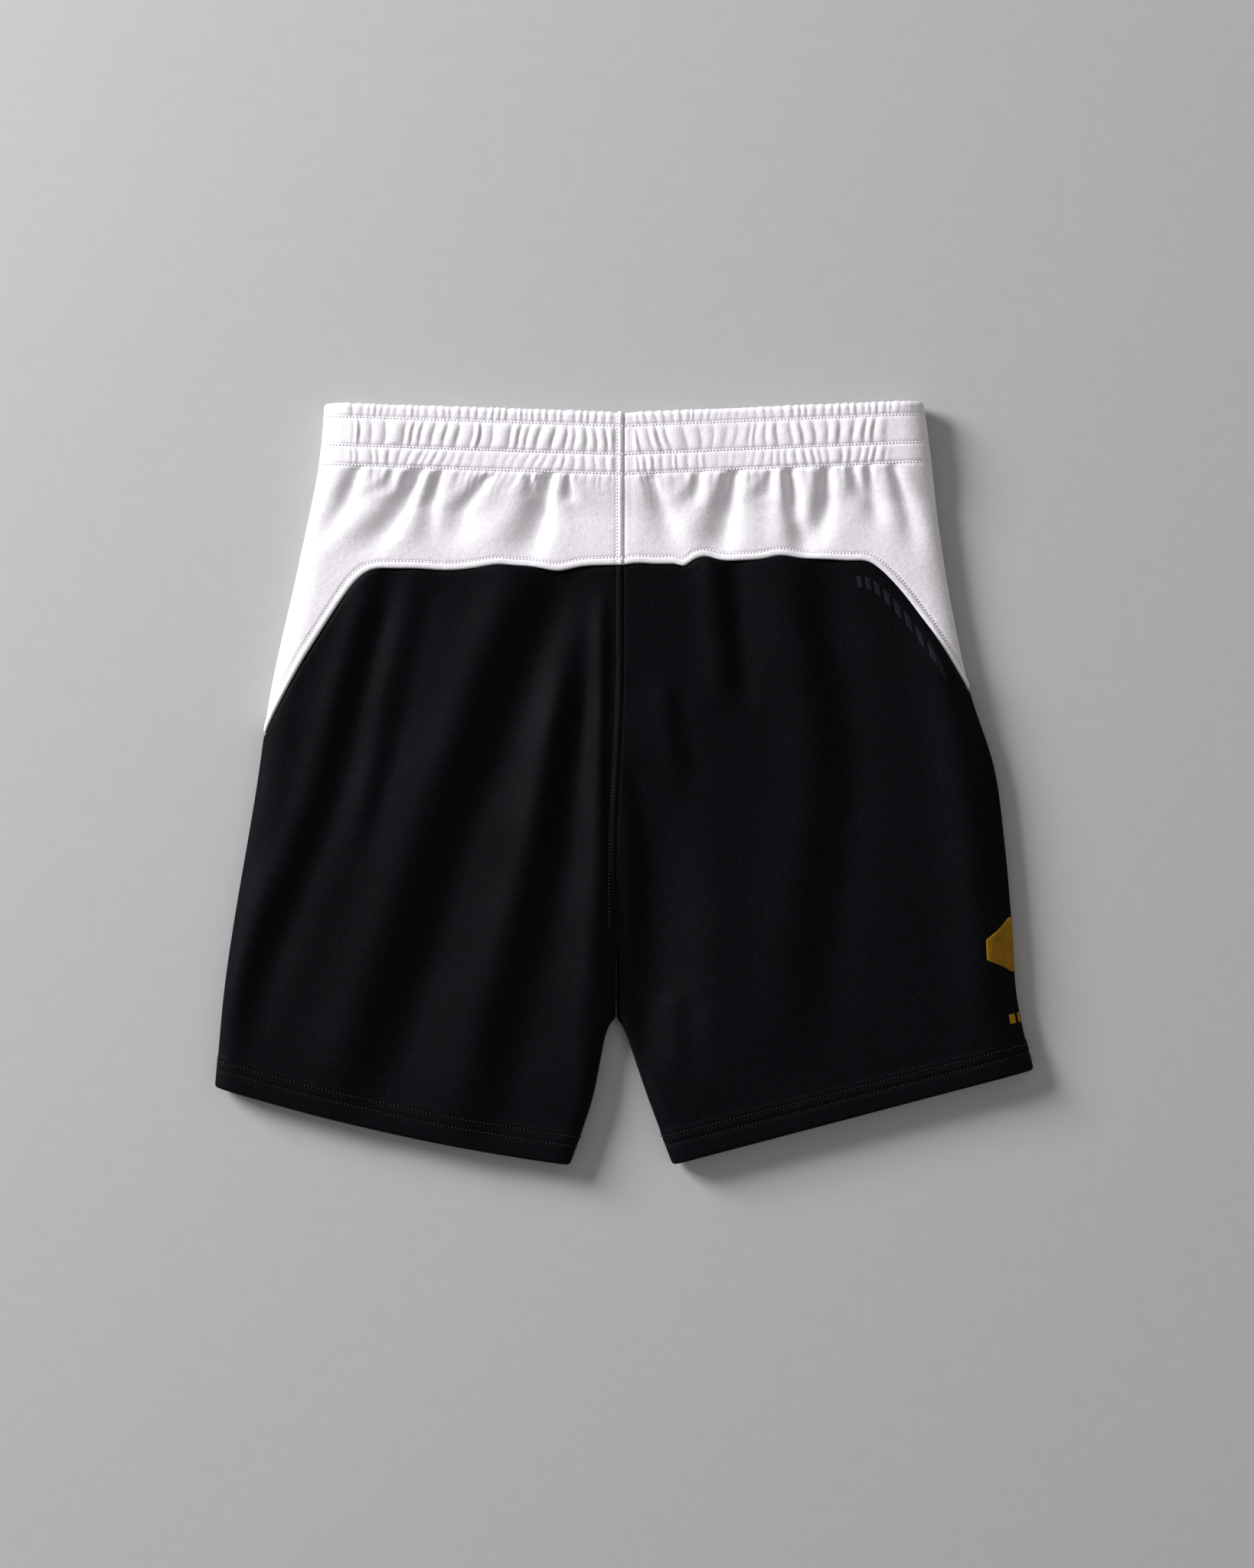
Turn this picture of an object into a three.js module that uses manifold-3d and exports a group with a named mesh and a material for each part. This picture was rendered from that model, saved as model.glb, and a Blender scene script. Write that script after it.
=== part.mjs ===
// Boxing shorts, laid flat with the back up. Millimetres, +X to the wearer's right,
// +Y to the waist, +Z up. The front lies on z = 0 and the centre seams stand on x = 0.
//
// Every piece lies on one of two skins, back and front. A place on a skin is given by a
// column, from the centre seam or inseam (0) out to the side seam (SIDE), a run in mm down
// from the waist fold, and a depth below the skin's outer face.
import * as THREE from 'three';
import Module from 'manifold-3d';
import { mergeVertices } from 'three/addons/utils/BufferGeometryUtils.js';

// Cloth, trim and gaps
const CLOTH = 1.6; // brushed fleece, one ply
const ELASTIC = 1.4;
const EASE = 0.3; // air between neighbouring pieces
const FILM = 0.2; // heat-pressed print
const THREAD = 0.45; // height of a row of stitches
const THREAD_WIDTH = 1.2;
const LABEL = { width: 26, length: 46, thick: 0.5, fromCentre: 8, tuck: 8 };

// Heights of the stuffed-flat garment
const WAIST_THICK = 18;
const BODY_THICK = 15;
const WAIST_TAPER = 30; // length over which the waist settles to the body's height
const RECESS = 0.8; // the front's sewn edges stand this far off the table

// Lengths along the garment
const CASING = 40; // waistband height
const CHANNELS = [8.3, 18.3]; // widths of the casing's upper two channels
const FACING_TAIL = 1.5; // facing below the last casing row
const RISE = 394.5; // waist fold to crotch, down the centre
const INSEAM = 100;
const HEM_FLAP = 22;
const HEM_ROWS = [12.5, 18.9]; // twin needle, measured up from the hem fold
const YOKE = 98; // waist fold to yoke seam, at the centre
const TOPSTITCH = 4.5; // distance of a topstitch from its seam

// How the edges roll over
const SIDE_ROLL = 12;
const INNER_ROLL = 12;
const VALLEY = 90; // length over which the seat sinks to the crotch

const CENTRE_TOP = 241;
const CROTCH = new THREE.Vector2(-5, CENTRE_TOP - RISE);
const HEM = RISE + INSEAM;
const DRIFT = { from: 160, to: 300 }; // runs between which the seat seam leaves x = 0

const EYELET = { hole: 2.6, barrel: 3.2, flange: 5.2, thick: 0.45, fromCentre: 24, run: 17.5 };
const BADGE = { run: HEM - 93.5, height: 44, back: 21, front: 12, blunt: 7 };
const BAR = { run: HEM - 39.5, height: 10, back: 18, front: 12 };
const TONAL = { from: 7.35, to: 10.3, below: [11, 20], width: [8.5, 14] }; // upper end, lower end

// Outlines. `side` holds [distance out from x = 0, share of the fall from waist to hem],
// `inseam` holds [distance out, drop below the crotch]. `waistUp` and `hemUp` are the heights
// of the outer corners above the centre and the inner corner, and `bow` is how far the hem
// sags between its corners. The yoke seam falls by `tilt` up to its corner, at share `corner`
// of the half's width, and then drops to `atSide`.
const LEFT = {
  name: 'left',
  toward: -1,
  waistUp: 6.5,
  hemUp: 51,
  bow: 5,
  side: [[195.5, 0], [199.5, 0.093], [215, 0.26], [230.5, 0.417], [241, 0.574],
    [254.5, 0.753], [261.5, 0.865], [267, 1]],
  inseam: [[11.5, 11], [20.5, 54], [35, 95.5]],
  seam: { tilt: 13, corner: 0.825, round: 0.05, atSide: 237 },
};
const RIGHT = {
  name: 'right',
  toward: 1,
  waistUp: 8,
  hemUp: 62,
  bow: 0,
  side: [[195.5, 0], [201, 0.093], [206, 0.19], [214, 0.305], [226, 0.432], [242, 0.547],
    [249, 0.662], [253.5, 0.777], [257, 0.892], [267, 1]],
  inseam: [[1.5, 12], [16, 54], [31.5, 95]],
  seam: { tilt: 2, corner: 0.84, round: 0.09, atSide: 209 },
};

// Columns: a roll at the inner edge, a flat run, and a roll at the side
const ROLL_STEPS = 3;
const FLAT = [0, 0.25, 0.5, 0.64, 0.74, 0.83, 0.92, 1];
const SIDE = 2 * ROLL_STEPS + FLAT.length - 1;
const COLUMNS = Array.from({ length: SIDE + 1 }, (_, i) => i);
const lerp = THREE.MathUtils.lerp;
const smooth = (x, from, to) => THREE.MathUtils.smoothstep(x, from, to);

function centreX(run) {
  return CROTCH.x * smooth(run, DRIFT.from, DRIFT.to);
}

function prepare(half) {
  const { toward } = half;
  const waistY = CENTRE_TOP + half.waistUp;
  const hemY = CROTCH.y - half.inseam.at(-1)[1] + half.hemUp;
  half.sideCurve = new THREE.SplineCurve(
    half.side.map(([x, share]) => new THREE.Vector2(toward * x, lerp(waistY, hemY, share))),
  );
  half.sideLength = half.sideCurve.getLength();
  half.inseamCurve = new THREE.SplineCurve(
    [CROTCH, ...half.inseam.map(([x, drop]) => new THREE.Vector2(toward * x, CROTCH.y - drop))],
  );
}

// Both ends of the line across one leg half at a run
function rowEnds(half, run) {
  const down = THREE.MathUtils.clamp(run, 0, HEM);
  const share = CASING / half.sideLength;
  const along = down < CASING
    ? down / half.sideLength
    : lerp(share, 1, (down - CASING) / (HEM - CASING));
  const outer = half.sideCurve.getPointAt(along);
  const inner = down < RISE
    ? new THREE.Vector2(centreX(down), CENTRE_TOP - down)
    : half.inseamCurve.getPointAt((down - RISE) / INSEAM);
  return { inner, outer };
}

function thickness(run) {
  return lerp(WAIST_THICK, BODY_THICK, smooth(run, CASING, CASING + WAIST_TAPER));
}

// How far the front's outer face stands off the table
function recess(half, column, run) {
  const seam = yokeSeam(half, column);
  const overWaist = 1 - smooth(run, CASING + 4, CASING + 16);
  const overHem = smooth(run, HEM - 40, HEM - 30);
  const overSeam = 1 - smooth(Math.abs(run - seam), 10, 20);
  const overCentre = 1 - smooth(column, ROLL_STEPS, ROLL_STEPS + 1);
  return RECESS * Math.max(overWaist, overHem, overSeam, overCentre);
}

// Share of the half's width at which a column lies on the straight part
function flatShare(column) {
  const place = THREE.MathUtils.clamp(column - ROLL_STEPS, 0, FLAT.length - 1);
  const step = Math.min(Math.floor(place), FLAT.length - 2);
  return lerp(FLAT[step], FLAT[step + 1], place - step);
}

// Distance from the inner edge to a column, on a line `width` long
function acrossAt(column, width, depth, sink) {
  if (column < ROLL_STEPS) {
    const angle = (column / ROLL_STEPS) * Math.PI / 2;
    return sink * depth + (INNER_ROLL - sink * depth) * (1 - Math.cos(angle));
  }
  if (column > SIDE - ROLL_STEPS) {
    const angle = ((SIDE - column) / ROLL_STEPS) * Math.PI / 2;
    return width - depth - (SIDE_ROLL - depth) * (1 - Math.cos(angle));
  }
  return lerp(INNER_ROLL, width - SIDE_ROLL, flatShare(column));
}

// Share of the full height that a column stands above the skin's edge
function heightAt(column, sink) {
  if (column < ROLL_STEPS) return 1 - sink * (1 - Math.sin((column / ROLL_STEPS) * Math.PI / 2));
  if (column > SIDE - ROLL_STEPS) return Math.sin(((SIDE - column) / ROLL_STEPS) * Math.PI / 2);
  return 1;
}

// Run of the yoke seam: nearly level, then round a soft corner and down to the side
function yokeSeam(half, column) {
  const { tilt, corner, round, atSide } = half.seam;
  const { inner, outer } = rowEnds(half, YOKE);
  const width = inner.distanceTo(outer);
  const share = acrossAt(column, width, 0, 0) / width;
  const bend = (t) => (t + Math.hypot(t, round)) / 2;
  const drop = atSide - YOKE - tilt;
  return YOKE + tilt * share + drop * bend(share - corner) / bend(1 - corner);
}

function skinAtColumn(half, layer, column, run, depth) {
  const { inner, outer } = rowEnds(half, run);
  const width = inner.distanceTo(outer);
  const thick = thickness(run);
  const lift = layer === 'front' ? recess(half, column, run) : 0;
  const sink = smooth(run, RISE - VALLEY, RISE);
  const gap = EASE / 2;
  const share = acrossAt(column, width, depth, sink) / width;
  const bow = half.bow * (run / HEM) * 4 * share * (1 - share);
  const above = gap + (thick / 2 - gap - lift - depth) * heightAt(column, sink);
  return new THREE.Vector3(
    lerp(inner.x, outer.x, share) + half.toward * gap,
    lerp(inner.y, outer.y, share) - bow,
    thick / 2 + (layer === 'back' ? above : -above),
  );
}

// Between columns the skin is straight, so every piece on it nests facet to facet
function skin(half, layer, column, run, depth) {
  const low = Math.min(Math.floor(column), SIDE - 1);
  const a = skinAtColumn(half, layer, low, run, depth);
  const b = skinAtColumn(half, layer, low + 1, run, depth);
  return a.lerp(b, column - low);
}

// Closed solid from a grid of [outside, inside] pairs, grid[line][step]
function gridSolid(grid, ring = false) {
  const lines = grid.length;
  const steps = grid[0].length;
  const points = grid.flat().flatMap(([out, inn]) => [...out.toArray(), ...inn.toArray()]);
  const at = (line, step, side) => 2 * ((line % lines) * steps + step) + side;
  const faces = [];
  const quad = (a, b, c, d) => faces.push(a, b, c, a, c, d);
  const last = ring ? lines : lines - 1;
  for (let i = 0; i < last; i += 1) {
    for (let j = 0; j < steps - 1; j += 1) {
      quad(at(i, j, 0), at(i + 1, j, 0), at(i + 1, j + 1, 0), at(i, j + 1, 0));
      quad(at(i, j, 1), at(i, j + 1, 1), at(i + 1, j + 1, 1), at(i + 1, j, 1));
    }
    quad(at(i, 0, 0), at(i, 0, 1), at(i + 1, 0, 1), at(i + 1, 0, 0));
    const end = steps - 1;
    quad(at(i, end, 0), at(i + 1, end, 0), at(i + 1, end, 1), at(i, end, 1));
  }
  if (!ring) {
    for (let j = 0; j < steps - 1; j += 1) {
      const end = lines - 1;
      quad(at(0, j, 0), at(0, j + 1, 0), at(0, j + 1, 1), at(0, j, 1));
      quad(at(end, j, 0), at(end, j, 1), at(end, j + 1, 1), at(end, j + 1, 0));
    }
  }
  return outward(points, faces);
}

function outward(points, faces) {
  const corner = (i) => new THREE.Vector3().fromArray(points, 3 * i);
  let volume = 0;
  for (let i = 0; i < faces.length; i += 3) {
    volume += corner(faces[i]).dot(corner(faces[i + 1]).cross(corner(faces[i + 2])));
  }
  if (volume < 0) faces.reverse();
  const geometry = new THREE.BufferGeometry();
  geometry.setAttribute('position', new THREE.Float32BufferAttribute(points, 3));
  geometry.setIndex(faces);
  return geometry;
}

// Section of a ply that turns over at a fold and runs back beside itself.
// `way` is +1 where the cloth reaches the fold going down, -1 going up.
function foldedSection(runs, fold, way, room, flapRuns) {
  const outer = CLOTH + room / 2;
  const inner = room / 2;
  const middle = fold - way * outer;
  const pairs = runs.map((run) => [[run, 0], [run, CLOTH]]);
  const turns = 4;
  for (let i = 0; i <= turns; i += 1) {
    const angle = (i / turns) * Math.PI;
    const go = way * Math.sin(angle);
    const rise = Math.cos(angle);
    pairs.push([[middle + outer * go, outer - outer * rise],
      [middle + inner * go, outer - inner * rise]]);
  }
  flapRuns.forEach((run) => pairs.push([[run, 2 * outer], [run, 2 * outer - CLOTH]]));
  return pairs;
}

function sweep(half, layer, columns, sectionAt) {
  return gridSolid(columns.map((column) => sectionAt(column).map(
    (pair) => pair.map(([run, depth]) => skin(half, layer, column, run, depth)),
  )));
}

const CASING_ROOM = ELASTIC + 2 * EASE; // the tunnel that holds the elastic

function yoke(half, layer) {
  return sweep(half, layer, COLUMNS, (column) => {
    const end = yokeSeam(half, column) - EASE / 2;
    const taper = CASING + WAIST_TAPER / 2;
    const lower = [1, 0.75, 0.5, 0.25].map((t) => lerp(taper, end, t));
    const upper = [taper, CASING + FACING_TAIL, CASING / 2];
    return foldedSection([...lower, ...upper], 0, -1, CASING_ROOM, [CASING / 2, CASING + FACING_TAIL]);
  });
}

function panel(half, layer) {
  return sweep(half, layer, COLUMNS, (column) => {
    const start = yokeSeam(half, column) + EASE / 2;
    const upper = [0, 0.35, 0.7].map((t) => lerp(start, RISE - VALLEY, t));
    const seat = [0, 0.2, 0.4, 0.6, 0.8, 1].map((t) => lerp(RISE - VALLEY, RISE, t));
    const lower = [0.12, 0.36].map((t) => lerp(RISE, HEM, t));
    const flat = [...upper, ...seat, ...lower, HEM - 40, HEM - 28];
    return foldedSection(flat, HEM, 1, EASE, [HEM - HEM_FLAP / 2, HEM - HEM_FLAP]);
  });
}

// Places round a half, from the centre back, over the side, to the centre front
const AROUND = [
  ...COLUMNS.map((column) => ({ layer: 'back', column })),
  ...COLUMNS.toReversed().map((column) => ({ layer: 'front', column })),
];

function band(half, places, edgesAt, top, bottom, ring = false) {
  return gridSolid(places.map((place) => edgesAt(place).map((run) => [
    skin(half, place.layer, place.column, run, top),
    skin(half, place.layer, place.column, run, bottom),
  ])), ring);
}

const ROW_TOP = -EASE - THREAD;

// Column at a distance from the centre seam, inside the inner roll
function columnBeside(distance) {
  const reach = (column) => acrossAt(column, RISE, 0, 0);
  const low = COLUMNS.findLastIndex((column) => column < ROLL_STEPS && reach(column) <= distance);
  return low + (distance - reach(low)) / (reach(low + 1) - reach(low));
}

function stitchRow(half, places, runAt, ring = false) {
  const edges = (place) => {
    const run = runAt(place.column);
    return [run - THREAD_WIDTH / 2, run + THREAD_WIDTH / 2];
  };
  return band(half, places, edges, ROW_TOP, -EASE, ring);
}

// The rows of the half that carries the centre topstitch stop short of it
function crossRow(half, runAt) {
  const start = half === LEFT ? columnBeside(TOPSTITCH + THREAD_WIDTH / 2 + EASE) : 0;
  const beyond = AROUND.filter(({ column }) => column > start);
  const places = [{ layer: 'back', column: start }, ...beyond, { layer: 'front', column: start }];
  return stitchRow(half, places, runAt);
}

function elastic(half) {
  const top = CLOTH + EASE;
  const edges = [top + 1.5, CASING / 2, CASING - 1];
  return band(half, AROUND, () => edges, top, top + ELASTIC);
}

// Topstitch beside the centre seam, waist to the start of the valley
function centreRow(half, layer) {
  const waist = [6, CASING / 2, CASING, CASING + WAIST_TAPER / 2, CASING + WAIST_TAPER];
  const seat = [0, 0.25, 0.5, 0.75, 1].map((t) => lerp(YOKE, RISE - VALLEY, t));
  const runs = [...waist, ...seat];
  const shares = [TOPSTITCH - THREAD_WIDTH / 2, TOPSTITCH + THREAD_WIDTH / 2];
  return gridSolid(runs.map((run) => shares.map((share) => [ROW_TOP, -EASE].map((depth) => {
    const place = skin(half, layer, 0, run, depth);
    place.x += half.toward * share;
    return place;
  }))));
}

// A print that wraps the side fold. Its width is measured along the skin from the fold,
// and it has a place wherever the cloth under it has one.
function sidePrint(half, shape, reachAt) {
  const roll = (SIDE_ROLL + BODY_THICK / 2) * Math.PI / 4;
  const { inner, outer } = rowEnds(half, shape.run);
  const flat = inner.distanceTo(outer) - INNER_ROLL - SIDE_ROLL;
  const step = (FLAT.at(-1) - FLAT.at(-2)) * flat;
  const columnAt = (mm) => SIDE - ROLL_STEPS * Math.min(mm / roll, 1) - Math.max(mm - roll, 0) / step;
  const stops = (reach) => [0, roll / 3, roll * 2 / 3, roll].filter((mm) => mm < reach).concat(reach);
  const back = stops(shape.back).reverse().map((mm) => ({ layer: 'back', column: columnAt(mm), mm }));
  const front = stops(shape.front).map((mm) => ({ layer: 'front', column: columnAt(mm), mm: -mm }));
  return band(half, [...back, ...front], (place) => {
    const reach = reachAt(place.mm);
    return [shape.run - reach, shape.run + reach];
  }, -EASE - FILM, -EASE);
}

function badge(half) {
  const middle = (BADGE.back - BADGE.front) / 2;
  const arm = (BADGE.back + BADGE.front) / 2;
  return sidePrint(half, BADGE, (mm) => {
    const share = Math.abs(mm - middle) / arm;
    return lerp(BADGE.height / 2, BADGE.blunt, Math.min(share, 1));
  });
}

function tonalPrint(half) {
  const between = COLUMNS.filter((column) => column > TONAL.from && column < TONAL.to);
  const columns = [TONAL.from, ...between, TONAL.to];
  const places = columns.map((column) => ({ layer: 'back', column }));
  return band(half, places, ({ column }) => {
    const along = (column - TONAL.from) / (TONAL.to - TONAL.from);
    const start = yokeSeam(half, column) + lerp(...TONAL.below, along);
    return [start, start + lerp(...TONAL.width, along)];
  }, -EASE - FILM, -EASE);
}

// Flange outside, barrel through the outer ply of the casing
function eyelet() {
  const profile = [[EYELET.hole, 0], [EYELET.flange, 0], [EYELET.flange, EYELET.thick],
    [EYELET.barrel, EYELET.thick], [EYELET.barrel, EYELET.thick + EASE + CLOTH - 0.2],
    [EYELET.hole, EYELET.thick + EASE + CLOTH - 0.2], [EYELET.hole, 0]];
  const geometry = new THREE.LatheGeometry(profile.map(([r, h]) => new THREE.Vector2(r, h)), 16);
  return geometry.rotateX(Math.PI / 2);
}

function eyeletPlace(half) {
  const { inner } = rowEnds(half, EYELET.run);
  return new THREE.Vector3(half.toward * EYELET.fromCentre, inner.y, RECESS - EASE - EYELET.thick);
}

// Hangs inside the back, clear of both the facing and the cloth below it
function careLabel() {
  const place = new THREE.BoxGeometry(LABEL.width, LABEL.length, LABEL.thick);
  const top = CENTRE_TOP - CASING - FACING_TAIL + LABEL.tuck;
  const facing = Math.min(WAIST_THICK - 2 * CLOTH - CASING_ROOM, BODY_THICK - CLOTH) - EASE;
  return place.translate(
    LABEL.fromCentre + LABEL.width / 2,
    top - LABEL.length / 2,
    facing - EASE - LABEL.thick / 2,
  );
}

const wasm = await Module();
wasm.setup();

function toSolid(geometry) {
  const bare = geometry.clone();
  bare.deleteAttribute('normal');
  bare.deleteAttribute('uv');
  const merged = mergeVertices(bare, 1e-4);
  return new wasm.Manifold(new wasm.Mesh({
    numProp: 3,
    vertProperties: merged.attributes.position.array,
    triVerts: Uint32Array.from(merged.index.array),
  }));
}

function cut(geometry, cutter) {
  const { vertProperties, triVerts } = toSolid(geometry).subtract(toSolid(cutter)).getMesh();
  const result = new THREE.BufferGeometry();
  result.setAttribute('position', new THREE.BufferAttribute(vertProperties, 3));
  result.setIndex(new THREE.BufferAttribute(triVerts, 1));
  return result;
}

// The hole goes through the outer ply only, and stops in the elastic's tunnel
function eyeletHole(half) {
  const deep = RECESS + CLOTH + EASE / 2;
  const bore = new THREE.CylinderGeometry(EYELET.barrel + EASE, EYELET.barrel + EASE, deep + 1, 16);
  const { x, y } = eyeletPlace(half);
  return bore.rotateX(Math.PI / 2).translate(x, y, deep / 2 - 0.5);
}

const FINISH = {
  white: { color: 0xece8ee, roughness: 0.95, metalness: 0 },
  black: { color: 0x111116, roughness: 0.92, metalness: 0 },
  elastic: { color: 0xe4e2e0, roughness: 0.85, metalness: 0 },
  whiteThread: { color: 0xf2eff3, roughness: 0.6, metalness: 0 },
  blackThread: { color: 0x0c0c10, roughness: 0.6, metalness: 0 },
  gold: { color: 0xb8860f, roughness: 0.5, metalness: 0.2 },
  tonal: { color: 0x1c1c22, roughness: 0.5, metalness: 0 },
  steel: { color: 0xb9b9bd, roughness: 0.3, metalness: 1 },
  satin: { color: 0xf4f4f4, roughness: 0.45, metalness: 0 },
};

const shorts = new THREE.Group();
shorts.name = 'boxing_shorts';

function add(name, geometry, finish, place = new THREE.Vector3()) {
  const mesh = new THREE.Mesh(geometry, new THREE.MeshStandardMaterial(FINISH[finish]));
  mesh.name = name;
  mesh.position.copy(place);
  shorts.add(mesh);
}

for (const half of [LEFT, RIGHT]) {
  prepare(half);
  const { name } = half;
  add(`back_yoke_${name}`, yoke(half, 'back'), 'white');
  add(`front_yoke_${name}`, cut(yoke(half, 'front'), eyeletHole(half)), 'white');
  add(`back_panel_${name}`, panel(half, 'back'), 'black');
  add(`front_panel_${name}`, panel(half, 'front'), 'black');
  add(`elastic_${name}`, elastic(half), 'elastic');
  add(`eyelet_${name}`, eyelet(), 'steel', eyeletPlace(half));
  const rows = [CHANNELS[0], CHANNELS[0] + CHANNELS[1], CASING - THREAD_WIDTH / 2];
  rows.forEach((run, i) => {
    add(`casing_row_${i + 1}_${name}`, crossRow(half, () => run), 'whiteThread');
  });
  const besideSeam = (column) => yokeSeam(half, column) - TOPSTITCH;
  add(`yoke_topstitch_${name}`, crossRow(half, besideSeam), 'whiteThread');
  HEM_ROWS.forEach((up, i) => {
    add(`hem_row_${i + 1}_${name}`, stitchRow(half, AROUND, () => HEM - up, true), 'blackThread');
  });
}
add('seat_topstitch', centreRow(LEFT, 'back'), 'whiteThread');
add('front_topstitch', centreRow(LEFT, 'front'), 'whiteThread');
add('side_badge', badge(RIGHT), 'gold');
add('side_bar', sidePrint(RIGHT, BAR, () => BAR.height / 2), 'gold');
add('tonal_print', tonalPrint(RIGHT), 'tonal');
add('care_label', careLabel(), 'satin');

export default shorts;
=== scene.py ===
import math

import bpy
import numpy as np
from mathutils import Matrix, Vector


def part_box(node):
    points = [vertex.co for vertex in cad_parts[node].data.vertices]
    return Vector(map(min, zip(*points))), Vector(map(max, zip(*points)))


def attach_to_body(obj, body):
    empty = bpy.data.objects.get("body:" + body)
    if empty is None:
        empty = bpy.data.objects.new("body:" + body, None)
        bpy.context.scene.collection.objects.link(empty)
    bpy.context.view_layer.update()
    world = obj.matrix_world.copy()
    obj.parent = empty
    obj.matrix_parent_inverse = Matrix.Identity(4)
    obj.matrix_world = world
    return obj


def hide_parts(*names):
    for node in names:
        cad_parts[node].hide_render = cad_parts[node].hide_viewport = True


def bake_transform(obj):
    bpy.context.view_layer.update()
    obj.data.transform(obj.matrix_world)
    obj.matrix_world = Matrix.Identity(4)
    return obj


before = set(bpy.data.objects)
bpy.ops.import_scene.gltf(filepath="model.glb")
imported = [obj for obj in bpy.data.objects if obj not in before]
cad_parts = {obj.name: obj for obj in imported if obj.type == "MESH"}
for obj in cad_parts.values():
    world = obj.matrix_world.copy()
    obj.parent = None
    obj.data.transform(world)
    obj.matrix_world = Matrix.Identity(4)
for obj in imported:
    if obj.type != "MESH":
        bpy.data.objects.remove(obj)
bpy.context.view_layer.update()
print("frame loaded:", len(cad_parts), "nodes")

# Lengths below are in mm. A place on the cloth is a column (0 the centre seam or inseam,
# 1 to 2 the flat part, 3 the side seam), a run down from the waist fold, and a depth
# below the outer face.
garment = {
    "cloth": 1.6,  # brushed fleece, one ply
    "ease": 0.1,  # between two pieces that meet at a seam
    "tunnel": 2.0,  # room for the elastic between the casing's plies
    "rows": (8.3, 26.6, 39.4),  # casing rows, down from the waist fold
    "facing": 41.5,  # how far the casing's inner ply comes down
    "hemFlap": 22,
    "hemGap": 0.3,
    "hemRows": (12.5, 18.9),  # up from the hem fold
    "rise": 394.5,
    "inseam": 100,
    "yoke": 98,  # waist fold to yoke seam, at the centre
    "casing": 40,
    "waistTaper": 30,  # below the casing, where the waist's thickness becomes the body's
    "tableGap": 0.6,  # between the front's plain skin and the table
    "sideRoll": 17,
    "innerRoll": 12,
    "valley": 120,  # length over which the seat sinks to the crotch
    "eyeletHole": 3.1,  # radius of the hole in the cloth
    "crotchX": -5,
    "drift": (160, 300),
    "waistTop": 241,
}
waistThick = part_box("back_yoke_left")[1].z * 1000
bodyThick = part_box("back_panel_left")[1].z * 1000
hemRun = garment["rise"] + garment["inseam"]
crotchY = garment["waistTop"] - garment["rise"]

leftHalf = {
    "name": "left",
    "toward": -1,
    "waistUp": 6.5,
    "hemUp": 51,
    "bow": 5,
    "side": [(195.5, 0), (199.5, 0.093), (215, 0.26), (230.5, 0.417), (241, 0.574),
             (254.5, 0.753), (261.5, 0.865), (267, 1)],
    "inseam": [(11.5, 11), (20.5, 54), (35, 95.5)],
    "seam": {"tilt": 13, "corner": 0.825, "round": 0.05, "atSide": 237},
    # where the seam bulges down (+) or up (-): x, width, amount
    "wave": [(-163, 12, -2.6), (-113, 18, 2.2), (-82, 10, -1.4), (-43, 12, 3.2)],
}
rightHalf = {
    "name": "right",
    "toward": 1,
    "waistUp": 8,
    "hemUp": 62,
    "bow": 0,
    "side": [(195.5, 0), (201, 0.093), (206, 0.19), (214, 0.305), (226, 0.432), (242, 0.547),
             (249, 0.662), (253.5, 0.777), (257, 0.892), (267, 1)],
    "inseam": [(1.5, 12), (16, 54), (31.5, 95)],
    "seam": {"tilt": 2, "corner": 0.84, "round": 0.09, "atSide": 209},
    "wave": [(8, 11, -1.6), (39, 4.5, 2.2), (52, 9, -3.6), (102, 10, -2.4), (159, 10, -3.4)],
}


def smooth(x, low, high):
    t = np.clip((np.asarray(x, float) - low) / (high - low), 0, 1)
    return t * t * (3 - 2 * t)


def lerp(a, b, t):
    return a + (b - a) * t


def bump(x, middle, width):
    return np.exp(-(((x - middle) / width) ** 2))


def unit(v):
    return v / np.maximum(np.linalg.norm(v, axis=-1, keepdims=True), 1e-9)


def throughPoints(points, count=600):
    # one smooth line through a few points, with its running length
    p = np.array(points, float)
    t = np.linspace(0, len(p) - 1, count)
    i = np.minimum(t.astype(int), len(p) - 2)
    w = (t - i)[:, None]
    before, after = p[np.maximum(i - 1, 0)], p[np.minimum(i + 2, len(p) - 1)]
    a, b = p[i], p[i + 1]
    va, vb = (b - before) / 2, (after - a) / 2
    line = (2 * a - 2 * b + va + vb) * w**3 + (3 * b - 3 * a - 2 * va - vb) * w**2 + va * w + a
    steps = np.linalg.norm(np.diff(line, axis=0), axis=1)
    return line, np.concatenate([[0], np.cumsum(steps)])


def along(line, distance):
    points, length = line
    return np.stack([np.interp(distance, length, points[:, k]) for k in (0, 1)], -1)


def prepare(half):
    toward = half["toward"]
    waistY = garment["waistTop"] + half["waistUp"]
    hemY = crotchY - half["inseam"][-1][1] + half["hemUp"]
    half["sideLine"] = throughPoints([(toward * x, lerp(waistY, hemY, s)) for x, s in half["side"]])
    leg = [(toward * x, crotchY - drop) for x, drop in half["inseam"]]
    half["inseamLine"] = throughPoints([(garment["crotchX"], crotchY)] + leg)


for half in (leftHalf, rightHalf):
    prepare(half)


def rowEnds(half, run):
    # both ends of the line across one leg half
    run = np.clip(run, 0, hemRun)
    casing = garment["casing"]
    length = half["sideLine"][1][-1]
    lower = lerp(casing, length, (run - casing) / (hemRun - casing))
    outer = along(half["sideLine"], np.where(run < casing, run, lower))
    x = garment["crotchX"] * smooth(run, *garment["drift"])
    centre = np.stack([x, garment["waistTop"] - run], -1)
    share = (run - garment["rise"]) / garment["inseam"]
    leg = along(half["inseamLine"], share * half["inseamLine"][1][-1])
    return np.where((run < garment["rise"])[..., None], centre, leg), outer


def sinking(run):
    return smooth(run, garment["rise"] - garment["valley"], garment["rise"])


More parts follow.
